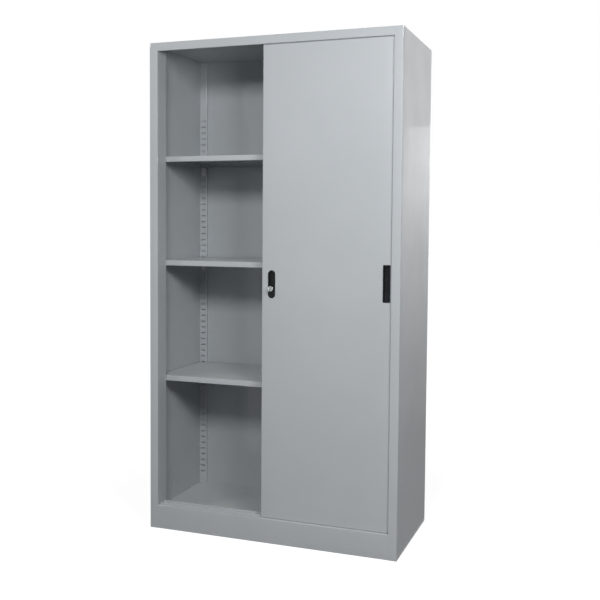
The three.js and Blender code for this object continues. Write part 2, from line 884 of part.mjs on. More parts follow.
function carcass() {
  const group = new THREE.Group();
  group.add(named('back_panel', backPanel(), greyPaint()));
  group.add(named('top_panel', topPanel(), greyPaint()));
  group.add(named('floor_pan', floorPan(), greyPaint()));
  group.add(named('front_plinth', frontPlinth(), greyPaint()));
  group.add(named('rear_base_rail', rearBaseRail(), greyPaint()));
  group.add(named('bottom_door_track', bottomDoorTrack(), greyPaint()));
  group.add(named('top_door_track', topDoorTrack(), greyPaint()));
  for (const [name, side] of [['left', -1], ['right', 1]]) {
    group.add(named(`${name}_side_panel`, sidePanel(side), greyPaint()));
    group.add(named(`${name}_front_upright`, frontUpright(side), greyPaint()));
    group.add(named(`${name}_rear_upright`, rearUpright(side), greyPaint()));
    group.add(named(`front_track_stop_${name}`, trackStop(side, frontDoorY), blackRubber()));
    group.add(named(`rear_track_stop_${name}`, trackStop(side, rearDoorY), blackRubber()));
  }
  return group;
}

function shelves() {
  const group = new THREE.Group();
  const levels = [['upper', upperShelfBottom], ['middle', middleShelfBottom], ['lower', lowerShelfBottom]];
  for (const [level, bottom] of levels) {
    group.add(named(`${level}_shelf`, shelf(bottom), greyPaint()));
    for (const [sideName, side] of [['left', -1], ['right', 1]]) {
      for (const [endName, end] of [['front', -1], ['rear', 1]]) {
        const clip = shelfClip(side, end, bottom);
        group.add(named(`${level}_shelf_clip_${sideName}_${endName}`, clip, zincSteel()));
      }
    }
  }
  return group;
}

// The front door with its lock
function rightDoor() {
  const group = door('right_door', 1, [lockWindow()]);
  group.add(named('lock_housing', lockHousing(), blackPlastic()));
  group.add(named('lock_retainer', lockRetainer(), zincSteel()));
  const turning = new THREE.Group();
  turning.position.set(lockX, 0, plungerZ);
  turning.add(named('lock_plunger', lockPlunger(), chrome()));
  turning.add(named('lock_core', lockCore(), chrome()));
  turning.add(named('lock_key', lockKey(), chrome()));
  group.add(turning);
  return group;
}

// The rear door is shown slid fully to the right, behind the front one
function leftDoor() {
  return door('left_door', -1, strikeCutters());
}

const cabinet = new THREE.Group();
const frontDoor = rightDoor();
frontDoor.position.set(doorOpenX, frontDoorY, 0);
const rearDoor = leftDoor();
rearDoor.position.set(doorOpenX, rearDoorY, 0);
cabinet.add(carcass(), shelves(), frontDoor, rearDoor);
export default cabinet;
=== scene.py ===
# Looks of the steel cabinet with two sliding doors, in metres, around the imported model.
import json
import math

import bpy
import bmesh
from mathutils import Matrix, Vector, noise

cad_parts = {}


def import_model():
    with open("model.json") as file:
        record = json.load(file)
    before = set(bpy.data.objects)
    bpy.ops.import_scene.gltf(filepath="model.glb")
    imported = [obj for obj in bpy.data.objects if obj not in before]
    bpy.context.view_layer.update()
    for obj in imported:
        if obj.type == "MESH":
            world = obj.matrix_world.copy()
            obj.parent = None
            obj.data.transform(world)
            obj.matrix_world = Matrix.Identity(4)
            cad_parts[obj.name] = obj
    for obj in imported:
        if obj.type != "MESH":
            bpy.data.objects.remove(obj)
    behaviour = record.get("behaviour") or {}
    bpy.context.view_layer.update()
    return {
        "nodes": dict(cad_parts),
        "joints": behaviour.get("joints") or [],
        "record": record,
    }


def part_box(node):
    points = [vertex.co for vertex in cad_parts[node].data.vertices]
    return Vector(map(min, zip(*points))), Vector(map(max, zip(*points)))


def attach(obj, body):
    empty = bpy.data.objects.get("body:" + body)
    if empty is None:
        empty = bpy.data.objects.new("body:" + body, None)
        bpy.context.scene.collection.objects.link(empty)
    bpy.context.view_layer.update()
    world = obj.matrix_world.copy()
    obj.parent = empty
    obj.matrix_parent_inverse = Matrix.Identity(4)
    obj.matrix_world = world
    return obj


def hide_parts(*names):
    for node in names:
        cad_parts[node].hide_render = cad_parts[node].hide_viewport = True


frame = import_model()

# Sheet steel, as in the frame
SHEET = 0.001
BEND = 0.001
BEND_STEPS = 6
GRID = 0.03
PANEL_GRID = 0.04
UPRIGHT_GRID = 0.5
BACK_PANEL_PARTS = 30
SMOOTH_ANGLE = 32
TOP_EDGE = 0.0006
BACK_LIP = 0.018
RAIL_LIP = 0.008
TOP_REAR_DROP = 0.020
PLINTH_LIP = 0.015
WELD_LAP = 0.0022
WELD_PROUD = 0.00003
UPRIGHT_FLANGE = 0.014
REAR_UPRIGHT_FLANGE = 0.012
SLOT_PITCH = 0.02425
SLOT_SIZE = (0.017, 0.004)
TOP_SLOT_Z = 1.5625
SLOT_COUNT = 61
SHELF_LIP = 0.008
DOOR_LIP = 0.015
DOOR_FLANGE_Z = 0.096
ROLLER_WINDOW = (0.032, 0.012)
ROLLER_INSET = 0.055
HUB_PROUD = 0.001
OVERRUN = 0.002

# Finger pulls
PULL_RIM = 0.0022
PULL_WALL = 0.0015
PULL_CORNER = 0.003
PULL_EDGE = 0.0005
FIT = 0.0003

# Push lock
LOCK_RIM = 0.002
LOCK_PLATE_EDGE = 0.0008
LOCK_RECESS_MARGIN = 0.004
LOCK_RECESS_HEIGHT = 0.050
LOCK_RECESS_DEPTH = 0.007
STRIKE_RADIUS = 0.0065
PLUNGER_EDGE = 0.0012
BOLT_RADIUS = 0.005
BOLT_EDGE = 0.001
KEYWAY_HALF_WIDTH = 0.0013
KEYWAY_HALF_HEIGHT = 0.00425
KEYWAY_DEPTH = 0.013

# Key: how far back from the tip and how deep each cut is
KEY_EDGE = 0.00035
KEY_BOW_LENGTH = 0.014
KEY_BOW_CORNER = 0.005
KEY_BLADE_HALF = 0.0038
KEY_TIP = 0.002
KEY_TIP_STEP = 0.0005
KEY_CUTS = ((0.0, 0.0), (0.004, 0.0), (0.0055, 0.0012), (0.007, 0.0002), (0.009, 0.0016), (0.011, 0.0004))
KEY_HOLE_RADIUS = 0.002

# How far large sheets wander from flat
RIPPLE = 0.00035
RIPPLE_LENGTH = 0.36
RIPPLE_MARGIN = 0.05
INWARD_GAIN = 2
RIPPLE_SEED = {"side_panel": 2.5, "back_panel": 7.1, "floor_pan": 4.2, "right_door": 1.3, "left_door": 5.7,
               "shelf": 10.0}
SHELF_SEED_STEP = 3.3

X, Y, Z = 0, 1, 2


def link(name, mesh):
    piece = bpy.data.objects.new(name, mesh)
    bpy.context.scene.collection.objects.link(piece)
    return piece


def folded(path, side, thickness=SHEET, bend=BEND, spacing=GRID):
    """Outline of a folded sheet: path is its outer face, with the sheet to its left (+1) or right (-1)."""
    face, other = [], []

    def left_of(d):
        return Vector((-d.y, d.x))

    points = [Vector(p) for p in path]
    for i, point in enumerate(points):
        if i in (0, len(points) - 1):
            a, b = (points[0], points[1]) if i == 0 else (points[-2], points[-1])
            normal = left_of((b - a).normalized())
            corner = [(point.copy(), point + normal * side * thickness)]
        else:
            before = (point - points[i - 1]).normalized()
            after = (points[i + 1] - point).normalized()
            angle = math.atan2(before.x * after.y - before.y * after.x, before.dot(after))
            turn = 1 if angle > 0 else -1
            inside = turn * side
            radius = bend + thickness if inside > 0 else bend
            start = point - before * radius * math.tan(abs(angle) / 2)
            centre = start + left_of(before) * turn * radius
            corner = []
            for step in range(BEND_STEPS + 1):
                normal = left_of(Matrix.Rotation(angle * step / BEND_STEPS, 2) @ before)
                corner.append((centre - normal * turn * radius,
                               centre - normal * turn * (radius - inside * thickness)))
        if face:
            last_face, last_other = face[-1], other[-1]
            parts = max(1, math.ceil((corner[0][0] - last_face).length / spacing))
            for step in range(1, parts):
                t = step / parts
                face.append(last_face.lerp(corner[0][0], t))
                other.append(last_other.lerp(corner[0][1], t))
        for a, b in corner:
            face.append(a)
            other.append(b)
    return face + other[::-1]


def place(axis, u, v, d):
    """A point of an outline drawn square to an axis, at distance d along it."""
    return {X: (d, u, v), Y: (u, d, v), Z: (u, v, d)}[axis]


def prism(outline, axis, lo, hi, spacing=None, sheet=False):
    """A closed mesh: the outline carried from lo to hi along an axis."""
    rings = max(1, math.ceil((hi - lo) / spacing)) if spacing else 1
    n = len(outline)
    verts = [place(axis, p[0], p[1], lo + (hi - lo) * r / rings) for r in range(rings + 1) for p in outline]
    faces = [(r * n + i, r * n + (i + 1) % n, (r + 1) * n + (i + 1) % n, (r + 1) * n + i)
             for r in range(rings) for i in range(n)]
    for base in (0, rings * n):
        if sheet:
            faces += [(base + i, base + i + 1, base + n - 2 - i, base + n - 1 - i) for i in range(n // 2 - 1)]
        else:
            faces.append(tuple(base + i for i in range(n)))
    mesh = bpy.data.meshes.new("prism")
    mesh.from_pydata(verts, [], faces)
    return tidied(mesh)


def tidied(mesh):
    """Faces turned outwards, flat faces flat and bends smooth."""
    work = bmesh.new()
    work.from_mesh(mesh)
    bmesh.ops.recalc_face_normals(work, faces=work.faces)
    work.to_mesh(mesh)
    work.free()
    mesh.polygons.foreach_set("use_smooth", [True] * len(mesh.polygons))
    mesh.set_sharp_from_angle(angle=math.radians(SMOOTH_ANGLE))
    return mesh


def sheet_prism(path, side, axis, lo, hi, spacing=GRID):
    return prism(folded(path, side, spacing=spacing), axis, lo, hi, spacing, sheet=True)


def slab(lo, hi):
    outline = [(lo[X], lo[Y]), (hi[X], lo[Y]), (hi[X], hi[Y]), (lo[X], hi[Y])]
    return prism(outline, Z, lo[Z], hi[Z])


def rounded(u, v, width, height, corner, steps=6):
    """Outline of a rectangle with round corners, about (u, v)."""
    centres = [(1, 1), (-1, 1), (-1, -1), (1, -1)]
    return [(u + a * (width / 2 - corner) + corner * math.cos((q + k / steps) * math.pi / 2),
             v + b * (height / 2 - corner) + corner * math.sin((q + k / steps) * math.pi / 2))
            for q, (a, b) in enumerate(centres) for k in range(steps + 1)]


def stadium(u, v, width, height, steps=24):
    radius = width / 2
    return [(u + radius * math.cos(math.pi * (e + k / steps)),
             v + (1 - 2 * e) * (height / 2 - radius) + radius * math.sin(math.pi * (e + k / steps)))
            for e in (0, 1) for k in range(steps + 1)]


def turned(profile, centre, faces=64):
    """A turned piece about an axis along Y through centre. The profile is (radius, y) and closes."""
    work = bmesh.new()
    rings = []
    for radius, y in profile:
        if radius < 1e-7:
            rings.append([work.verts.new((centre[X], y, centre[Z]))])
            continue
        rings.append([work.verts.new((centre[X] + radius * math.cos(2 * math.pi * k / faces), y,
                                      centre[Z] + radius * math.sin(2 * math.pi * k / faces)))
                      for k in range(faces)])
    on_axis = len(rings[0]) == 1
    pairs = list(zip(rings, rings[1:])) + ([] if on_axis else [(rings[-1], rings[0])])
    for a, b in pairs:
        for k in range(faces):
            m = (k + 1) % faces
            if len(a) == 1:
                work.faces.new((a[0], b[k], b[m]))
            elif len(b) == 1:
                work.faces.new((a[k], b[0], a[m]))
            else:
                work.faces.new((a[k], b[k], b[m], a[m]))
    mesh = bpy.data.meshes.new("turned")
    work.to_mesh(mesh)
    work.free()
    return tidied(mesh)


def boolean(mesh, others, operation):
    """The mesh joined with, or cut by, the others."""
    piece = link("work", mesh)
    helpers = []
    for other in others:
        helper = link("helper", other)
        modifier = piece.modifiers.new("boolean", "BOOLEAN")
        modifier.operation = operation
        modifier.solver = "EXACT"
        modifier.object = helper
        helpers.append(helper)
    depsgraph = bpy.context.evaluated_depsgraph_get()
    result = bpy.data.meshes.new_from_object(piece.evaluated_get(depsgraph))
    for spare in [piece, *helpers]:
        bpy.data.objects.remove(spare)
    return tidied(result)


def together(meshes):
    """Several separate solids as one mesh."""
    work = bmesh.new()
    for mesh in meshes:
        work.from_mesh(mesh)
    result = bpy.data.meshes.new("together")
    work.to_mesh(result)
    work.free()
    return result


def softened(mesh, width, segments=3, angle=35, keep=None):
    """Edges rounded by width. Keep names the edges to round by their two ends."""
    work = bmesh.new()
    work.from_mesh(mesh)
    bmesh.ops.remove_doubles(work, verts=work.verts, dist=1e-6)
    limit = math.radians(angle)
    edges = [e for e in work.edges if len(e.link_faces) == 2 and e.calc_face_angle(0) > limit]
    if keep:
        edges = [e for e in edges if keep(e.verts[0].co) and keep(e.verts[1].co)]
    bmesh.ops.bevel(work, geom=edges, offset=width, segments=segments, profile=0.5, affect="EDGES",
                    clamp_overlap=True)
    work.to_mesh(mesh)
    work.free()
    tidied(mesh)
    return mesh


def rippled(mesh, axis, plane, lo, hi, seed, amount=RIPPLE, inward=0):
    """Lets a large flat sheet wander from its plane, with its margins kept straight: to both sides,
    or only inward where the sheet is the object's outer limit."""
    others = [k for k in (X, Y, Z) if k != axis]
    for vertex in mesh.vertices:
        co = vertex.co
        if abs(co[axis] - plane) > 1.5 * SHEET:
            continue
        inset = min(min(co[k] - lo[k], hi[k] - co[k]) for k in others)
        fade = max(0.0, min(1.0, inset / RIPPLE_MARGIN))
        fade = fade * fade * (3 - 2 * fade)
        sample = co / RIPPLE_LENGTH
        sample[axis] = seed
        wander = noise.noise(sample)
        if inward:
            wander = inward * INWARD_GAIN * wander * wander
        co[axis] += amount * fade * wander
    return mesh


# Materials

def material(name):
    made = bpy.data.materials.new(name)
    made.use_nodes = True
    tree = made.node_tree
    return made, tree, tree.nodes["Principled BSDF"]


def noise_node(tree, scale, detail=3.0, rough=0.5):
    where = tree.nodes.get("Texture Coordinate") or tree.nodes.new("ShaderNodeTexCoord")
    made = tree.nodes.new("ShaderNodeTexNoise")
    made.inputs["Scale"].default_value = scale
    made.inputs["Detail"].default_value = detail
    made.inputs["Roughness"].default_value = rough
    tree.links.new(where.outputs["Object"], made.inputs["Vector"])
    return made


def ramp_between(tree, source, low, high, start=0.3, end=0.7):
    """Maps a 0-1 source to the range from low to high."""
    made = tree.nodes.new("ShaderNodeMapRange")
    made.inputs["From Min"].default_value = start
    made.inputs["From Max"].default_value = end
    made.inputs["To Min"].default_value = low
    made.inputs["To Max"].default_value = high
    tree.links.new(source, made.inputs["Value"])
    return made.outputs["Result"]


def mixed_colour(tree, factor, first, second, start=0.3, end=0.7):
    """A colour that runs from the first to the second as the factor goes from start to end."""
    made = tree.nodes.new("ShaderNodeValToRGB")
    for stop, colour, at in zip(made.color_ramp.elements, (first, second), (start, end)):
        stop.color = (*colour, 1)
        stop.position = at
    tree.links.new(factor, made.inputs["Fac"])
    return made.outputs["Color"]


def bumped(tree, shader, height, strength, distance, under=None):
    made = tree.nodes.new("ShaderNodeBump")
    made.inputs["Strength"].default_value = strength
    made.inputs["Distance"].default_value = distance
    tree.links.new(height, made.inputs["Height"])
    if under:
        tree.links.new(under.outputs["Normal"], made.inputs["Normal"])
    tree.links.new(made.outputs["Normal"], shader.inputs["Normal"])
    return made


# Painted light: a pale grey mixed into the paint where a face looks up, so that shelf tops and the floor pan
# show brighter
PAINTED_TOP_LIGHT_COLOUR = (0.68, 0.70, 0.69)


def painted_top_light(tree, colour):
    """The colour lightened where the surface faces up, mixed up to halfway towards a pale grey: painted light
    that brightens shelf tops and the floor pan.
    """
    facing = tree.nodes.new("ShaderNodeNewGeometry")
    split = tree.nodes.new("ShaderNodeSeparateXYZ")
    tree.links.new(facing.outputs["True Normal"], split.inputs["Vector"])
    top_light_amount = ramp_between(tree, split.outputs["Z"], 0.0, 0.5, 0.7, 1.0)
    made = tree.nodes.new("ShaderNodeMix")
    made.data_type = "RGBA"
    socket = {each.identifier: each for each in made.inputs}
    tree.links.new(top_light_amount, socket["Factor_Float"])
    tree.links.new(colour, socket["A_Color"])
    socket["B_Color"].default_value = (*PAINTED_TOP_LIGHT_COLOUR, 1)
    return next(each for each in made.outputs if each.identifier == "Result_Color")


def grey_paint():
    """Powder coat: fine orange peel, faint cloudiness and a little dulling by handling."""
    made, tree, shader = material("grey_paint")
    cloud = noise_node(tree, 3.5, 4).outputs["Fac"]
    colour = mixed_colour(tree, cloud, (0.445, 0.472, 0.494), (0.471, 0.498, 0.522))
    # Painted light: faces that look up are mixed towards a pale grey
    tree.links.new(painted_top_light(tree, colour), shader.inputs["Base Color"])
    smear = noise_node(tree, 9.0, 5, 0.6).outputs["Fac"]
    tree.links.new(ramp_between(tree, smear, 0.40, 0.50), shader.inputs["Roughness"])
    shader.inputs["Specular IOR Level"].default_value = 0.3
    shader.inputs["Coat Weight"].default_value = 0.35
    shader.inputs["Coat Roughness"].default_value = 0.04
    peel = noise_node(tree, 420.0, 2).outputs["Fac"]
    wide = bumped(tree, shader, noise_node(tree, 60.0, 2).outputs["Fac"], 0.10, 0.0004)
    bumped(tree, shader, peel, 0.16, 0.00012, under=wide)
    return made


def black_plastic():
    made, tree, shader = material("black_plastic")
    cloud = noise_node(tree, 60.0, 3).outputs["Fac"]
    colour = mixed_colour(tree, cloud, (0.005, 0.006, 0.007), (0.010, 0.012, 0.013))
    tree.links.new(colour, shader.inputs["Base Color"])
    tree.links.new(ramp_between(tree, cloud, 0.42, 0.55), shader.inputs["Roughness"])
    shader.inputs["Specular IOR Level"].default_value = 0.15
    bumped(tree, shader, noise_node(tree, 1800.0, 2).outputs["Fac"], 0.25, 0.00008)
    return made


def bright_chrome():
    made, tree, shader = material("bright_chrome")
    shader.inputs["Metallic"].default_value = 1.0
    haze = noise_node(tree, 300.0, 4, 0.6).outputs["Fac"]
    colour = mixed_colour(tree, haze, (0.46, 0.49, 0.50), (0.60, 0.63, 0.64))
    tree.links.new(colour, shader.inputs["Base Color"])
    tree.links.new(ramp_between(tree, haze, 0.14, 0.30), shader.inputs["Roughness"])
    bumped(tree, shader, noise_node(tree, 1400.0, 2).outputs["Fac"], 0.08, 0.00003)
    return made


def zinc_steel():
    """Zinc plating, with its faint cells."""
    made, tree, shader = material("zinc_steel")
    shader.inputs["Metallic"].default_value = 1.0
    where = tree.nodes.new("ShaderNodeTexCoord")
    cells = tree.nodes.new("ShaderNodeTexVoronoi")
    cells.inputs["Scale"].default_value = 240.0
    tree.links.new(where.outputs["Object"], cells.inputs["Vector"])
    tint = cells.outputs["Distance"]
    colour = mixed_colour(tree, tint, (0.56, 0.57, 0.58), (0.66, 0.67, 0.69))
    tree.links.new(colour, shader.inputs["Base Color"])
    tree.links.new(ramp_between(tree, tint, 0.30, 0.46, 0.0, 0.6), shader.inputs["Roughness"])
    bumped(tree, shader, noise_node(tree, 900.0, 3).outputs["Fac"], 0.12, 0.00005)
    return made


def white_nylon():
    made, tree, shader = material("white_nylon")
    cloud = noise_node(tree, 90.0, 3).outputs["Fac"]
    colour = mixed_colour(tree, cloud, (0.70, 0.69, 0.64), (0.78, 0.77, 0.72))
    tree.links.new(colour, shader.inputs["Base Color"])
    tree.links.new(ramp_between(tree, cloud, 0.42, 0.58), shader.inputs["Roughness"])
    bumped(tree, shader, noise_node(tree, 1200.0, 2).outputs["Fac"], 0.15, 0.00006)
    return made


def black_rubber():
    made, tree, shader = material("black_rubber")
    cloud = noise_node(tree, 120.0, 4).outputs["Fac"]
    colour = mixed_colour(tree, cloud, (0.015, 0.015, 0.015), (0.03, 0.03, 0.029))
    tree.links.new(colour, shader.inputs["Base Color"])
    tree.links.new(ramp_between(tree, cloud, 0.72, 0.9), shader.inputs["Roughness"])
    bumped(tree, shader, noise_node(tree, 1500.0, 3).outputs["Fac"], 0.3, 0.00008)
    return made


finishes = {"grey_paint": grey_paint(), "black_plastic": black_plastic(), "bright_chrome": bright_chrome(),
            "zinc_steel": zinc_steel(), "white_nylon": white_nylon(), "black_rubber": black_rubber()}
slot_of = {row["node"]: row["material_slot"] for row in frame["record"]["subparts"]}
body_of = {n: body for body, nodes in frame["record"]["behaviour"]["bodies"].items() for n in nodes}


def stand_for(cad_node, mesh):
    """The mesh is shown in place of a CAD node, on its body and in its finish."""
    piece = link("shown_" + cad_node, mesh)
    mesh.materials.clear()
    mesh.materials.append(finishes[slot_of[cad_node]])
    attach(piece, body_of[cad_node])
    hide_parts(cad_node)
    return piece


# Carcass

post_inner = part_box("right_side_panel")[0].x
post_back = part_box("right_front_upright")[1].y
inside_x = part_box("right_side_panel")[1].x - SHEET


def side_panel(name, side):
    lo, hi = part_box(name)
    outer = side * hi.x if side > 0 else lo.x
    path = [(outer - side * BACK_LIP, hi.y), (outer, hi.y), (outer, lo.y),
            (side * post_inner, lo.y), (side * post_inner, post_back)]
    mesh = sheet_prism(path, -side, Z, lo.z, hi.z)
    mesh = rippled(mesh, X, outer, lo, hi, RIPPLE_SEED["side_panel"] + side, inward=-side)
    stand_for(name, mesh)


def top_panel():
    lo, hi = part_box("top_panel")
    front = lo.y - WELD_PROUD
    path = [(lo.y + RAIL_LIP, lo.z), (front, lo.z), (front, hi.z), (hi.y, hi.z), (hi.y, hi.z - TOP_REAR_DROP)]
    reach = post_inner + WELD_LAP
    fold = sheet_prism(path, -1, X, -reach, reach)
    lid = prism(rounded(0, 0, hi.x - lo.x, hi.y - lo.y, BEND + SHEET), Z, hi.z - SHEET, hi.z)
    mesh = boolean(fold, [lid], "UNION")
    top = hi.z - SHEET / 4
    mesh = softened(mesh, TOP_EDGE, 3, 60, keep=lambda co: co.z > top)
    stand_for("top_panel", mesh)


def back_panel():
    lo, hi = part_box("back_panel")
    outline = [(lo.x + (hi.x - lo.x) * k / BACK_PANEL_PARTS, y) for y, order in ((lo.y, 1), (hi.y, -1))
               for k in range(BACK_PANEL_PARTS + 1)[::order]]
    mesh = prism(outline, Z, lo.z, hi.z, PANEL_GRID, sheet=True)
    stand_for("back_panel", rippled(mesh, Y, lo.y, lo, hi, RIPPLE_SEED["back_panel"], 2 * RIPPLE))


def floor_pan():
    lo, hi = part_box("floor_pan")
    path = [(lo.x, lo.z), (lo.x, hi.z), (hi.x, hi.z), (hi.x, lo.z)]
    mesh = sheet_prism(path, -1, Y, lo.y, hi.y)
    stand_for("floor_pan", rippled(mesh, Z, hi.z, lo, hi, RIPPLE_SEED["floor_pan"]))


def front_plinth():
    lo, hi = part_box("front_plinth")
    front = lo.y - WELD_PROUD
    path = [(lo.y + PLINTH_LIP, lo.z), (front, lo.z), (front, hi.z), (hi.y, hi.z),
            (hi.y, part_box("floor_pan")[1].z - SHEET)]
    stand_for("front_plinth", sheet_prism(path, -1, X, lo.x - WELD_LAP, hi.x + WELD_LAP))


def slot_cutter(centre_x, face_y):
    width, height = SLOT_SIZE
    outline = [(centre_x + u, v) for v, u in stadium(0, 0, height, width, 8)]
    base = prism(outline, Y, face_y - SHEET - OVERRUN, face_y + SHEET + OVERRUN)
    cutters = []
    for slot in range(SLOT_COUNT):
        copy = base.copy()
        copy.transform(Matrix.Translation((0, 0, TOP_SLOT_Z - slot * SLOT_PITCH)))
        cutters.append(copy)
    return tidied(together(cutters))


def upright(name, side, rear):
    lo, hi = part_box(name)
    outer, inner = (hi.x, lo.x) if side > 0 else (lo.x, hi.x)
    face_y = lo.y if rear else hi.y
    if rear:
        path = [(outer, lo.y), (inner, lo.y), (inner, hi.y), (inner + side * REAR_UPRIGHT_FLANGE, hi.y)]
        mesh = sheet_prism(path, -side, Z, lo.z, hi.z, UPRIGHT_GRID)
    else:
        path = [(outer, hi.y), (inner, hi.y), (inner, hi.y - UPRIGHT_FLANGE)]
        mesh = sheet_prism(path, side, Z, lo.z, hi.z, UPRIGHT_GRID)
    slots = slot_cutter(side * (inside_x + post_inner) / 2, face_y)
    stand_for(name, boolean(mesh, [slots], "DIFFERENCE"))


def shelf(name, seed):
    lo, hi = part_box(name)
    path = [(lo.y + SHELF_LIP, lo.z), (lo.y, lo.z), (lo.y, hi.z), (hi.y, hi.z), (hi.y, lo.z),
            (hi.y - SHELF_LIP, lo.z)]
    tray = sheet_prism(path, -1, X, lo.x, hi.x)
    margin = SHEET + BEND
    ends = [slab((x, lo.y + margin, lo.z + SHEET), (x + SHEET, hi.y - margin, hi.z - SHEET / 2))
            for x in (lo.x, hi.x - SHEET)]
    mesh = boolean(tray, ends, "UNION")
    stand_for(name, rippled(mesh, Z, hi.z, lo, hi, seed))


# Doors

def door_panel(prefix, windows):
    """A folded tray with lips all round its back, and its windows cut."""
    name = prefix + "_panel"
    lo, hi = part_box(name)
    path = [(lo.x + DOOR_LIP, hi.y), (lo.x, hi.y), (lo.x, lo.y), (hi.x, lo.y), (hi.x, hi.y),
            (hi.x - DOOR_LIP, hi.y)]
    bottom = DOOR_FLANGE_Z
    wrapped = sheet_prism(path, 1, Z, bottom, hi.z, PANEL_GRID)
    a, b = lo.x + SHEET / 2, hi.x - SHEET / 2
    front = lo.y + SHEET / 2
    bend = SHEET + BEND
    flanges = [slab((lo.x + bend, lo.y, lo.z), (hi.x - bend, lo.y + SHEET, bottom + SHEET))]
    for z0, z1, t0, t1 in ((bottom, bottom + DOOR_LIP, bottom, bottom + SHEET),
                           (hi.z - DOOR_LIP, hi.z, hi.z - SHEET, hi.z)):
        flanges.append(slab((a, front, t0), (b, hi.y, t1)))
        flanges.append(slab((a, hi.y - SHEET, z0), (b, hi.y, z1)))
    tray = boolean(wrapped, flanges, "UNION")
    for end in (lo.x + ROLLER_INSET, hi.x - ROLLER_INSET):
        length, width = ROLLER_WINDOW
        middle = (lo.y + hi.y) / 2
        windows.append(slab((end - length / 2, middle - width / 2, bottom - OVERRUN),
                            (end + length / 2, middle + width / 2, bottom + SHEET + OVERRUN)))
    tray = rippled(tray, Y, lo.y, lo, hi, RIPPLE_SEED[prefix])
    stand_for(name, boolean(tray, windows, "DIFFERENCE"))


def pull_outline(prefix, shrink):
    lo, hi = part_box(prefix + "_finger_pull")
    return rounded((lo.x + hi.x) / 2, (lo.z + hi.z) / 2, hi.x - lo.x - 2 * shrink, hi.z - lo.z - 2 * shrink,
                   PULL_CORNER)


def door_face(prefix):
    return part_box(prefix + "_panel")[0].y


def pull_window(prefix):
    face = door_face(prefix)
    return prism(pull_outline(prefix, PULL_RIM - FIT), Y, face - OVERRUN, face + SHEET + OVERRUN)


def finger_pull(prefix):
    """A moulded cup with a rim on the door face."""
    name = prefix + "_finger_pull"
    lo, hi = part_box(name)
    face = door_face(prefix)
    rim = prism(pull_outline(prefix, 0), Y, lo.y, face)
    cup = prism(pull_outline(prefix, PULL_RIM), Y, face - SHEET / 2, hi.y)
    hollow = prism(pull_outline(prefix, PULL_RIM + PULL_WALL), Y, lo.y - OVERRUN, hi.y - PULL_WALL)
    mesh = boolean(boolean(rim, [cup], "UNION"), [hollow], "DIFFERENCE")
    stand_for(name, softened(mesh, PULL_EDGE, 3, 50))


def lock_outline(shrink):
    lo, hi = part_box("lock_housing")
    return stadium((lo.x + hi.x) / 2, (lo.z + hi.z) / 2, hi.x - lo.x - 2 * shrink, hi.z - lo.z - 2 * shrink)


def lock_window():
    face = door_face("right_door")
    return prism(lock_outline(LOCK_RIM - FIT), Y, face - OVERRUN, face + SHEET + OVERRUN)


def round_prism(centre, radius, y0, y1):
    outline = [(centre.x + radius * math.cos(k * math.pi / 24), centre.z + radius * math.sin(k * math.pi / 24))
               for k in range(48)]
    return prism(outline, Y, y0, y1)


def middle_of(cad_node):
    lo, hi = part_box(cad_node)
    return (lo + hi) / 2


def lock_housing():
    lo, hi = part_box("lock_housing")
    face = door_face("right_door")
    plate = prism(lock_outline(0), Y, lo.y, face)
    plate = softened(plate, LOCK_PLATE_EDGE, 3, 50, keep=lambda co: co.y < face - SHEET / 2)
    body = prism(lock_outline(LOCK_RIM), Y, face - SHEET / 2, hi.y)
    width = hi.x - lo.x - 2 * LOCK_RECESS_MARGIN
    recess_z = hi.z - LOCK_RECESS_MARGIN - LOCK_RECESS_HEIGHT / 2
    recess = prism(stadium((lo.x + hi.x) / 2, recess_z, width, LOCK_RECESS_HEIGHT), Y, lo.y - OVERRUN,
                   lo.y + LOCK_RECESS_DEPTH)
    p_lo, p_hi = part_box("lock_plunger")
    bore = round_prism(middle_of("lock_plunger"), (p_hi.x - p_lo.x) / 2 + FIT, lo.y - OVERRUN, hi.y + OVERRUN)
    mesh = boolean(boolean(plate, [body], "UNION"), [recess, bore], "DIFFERENCE")
    stand_for("lock_housing", mesh)


def lock_plunger():
    lo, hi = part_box("lock_plunger")
    core_lo, core_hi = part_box("lock_core")
    centre = middle_of("lock_plunger")
    radius = (hi.x - lo.x) / 2
    bore = (core_hi.x - core_lo.x) / 2 + FIT
    body_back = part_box("lock_housing")[1].y
    bolt = BOLT_RADIUS
    edge = PLUNGER_EDGE
    nose = [(radius - edge * (1 - math.sin(a)), lo.y + edge * (1 - math.cos(a)))
            for a in (k * math.pi / 12 for k in range(7))]
    profile = [(0, core_hi.y + FIT), (bore, core_hi.y + FIT), (bore, lo.y + SHEET / 4),
               (bore + SHEET / 4, lo.y), *nose, (radius, body_back), (bolt, body_back),
               (bolt, hi.y - BOLT_EDGE), (bolt - BOLT_EDGE, hi.y), (0, hi.y)]
    stand_for("lock_plunger", turned(profile, centre, 72))


def lock_core():
    lo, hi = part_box("lock_core")
    centre = middle_of("lock_plunger")
    radius = (hi.x - lo.x) / 2
    profile = [(0, lo.y), (radius - SHEET / 3, lo.y), (radius, lo.y + SHEET / 3), (radius, hi.y), (0, hi.y)]
    core = turned(profile, centre, 64)
    keyway = slab((centre.x - KEYWAY_HALF_WIDTH, lo.y - OVERRUN, centre.z - KEYWAY_HALF_HEIGHT),
                  (centre.x + KEYWAY_HALF_WIDTH, lo.y + KEYWAY_DEPTH, centre.z + KEYWAY_HALF_HEIGHT))
    stand_for("lock_core", boolean(core, [keyway], "DIFFERENCE"))


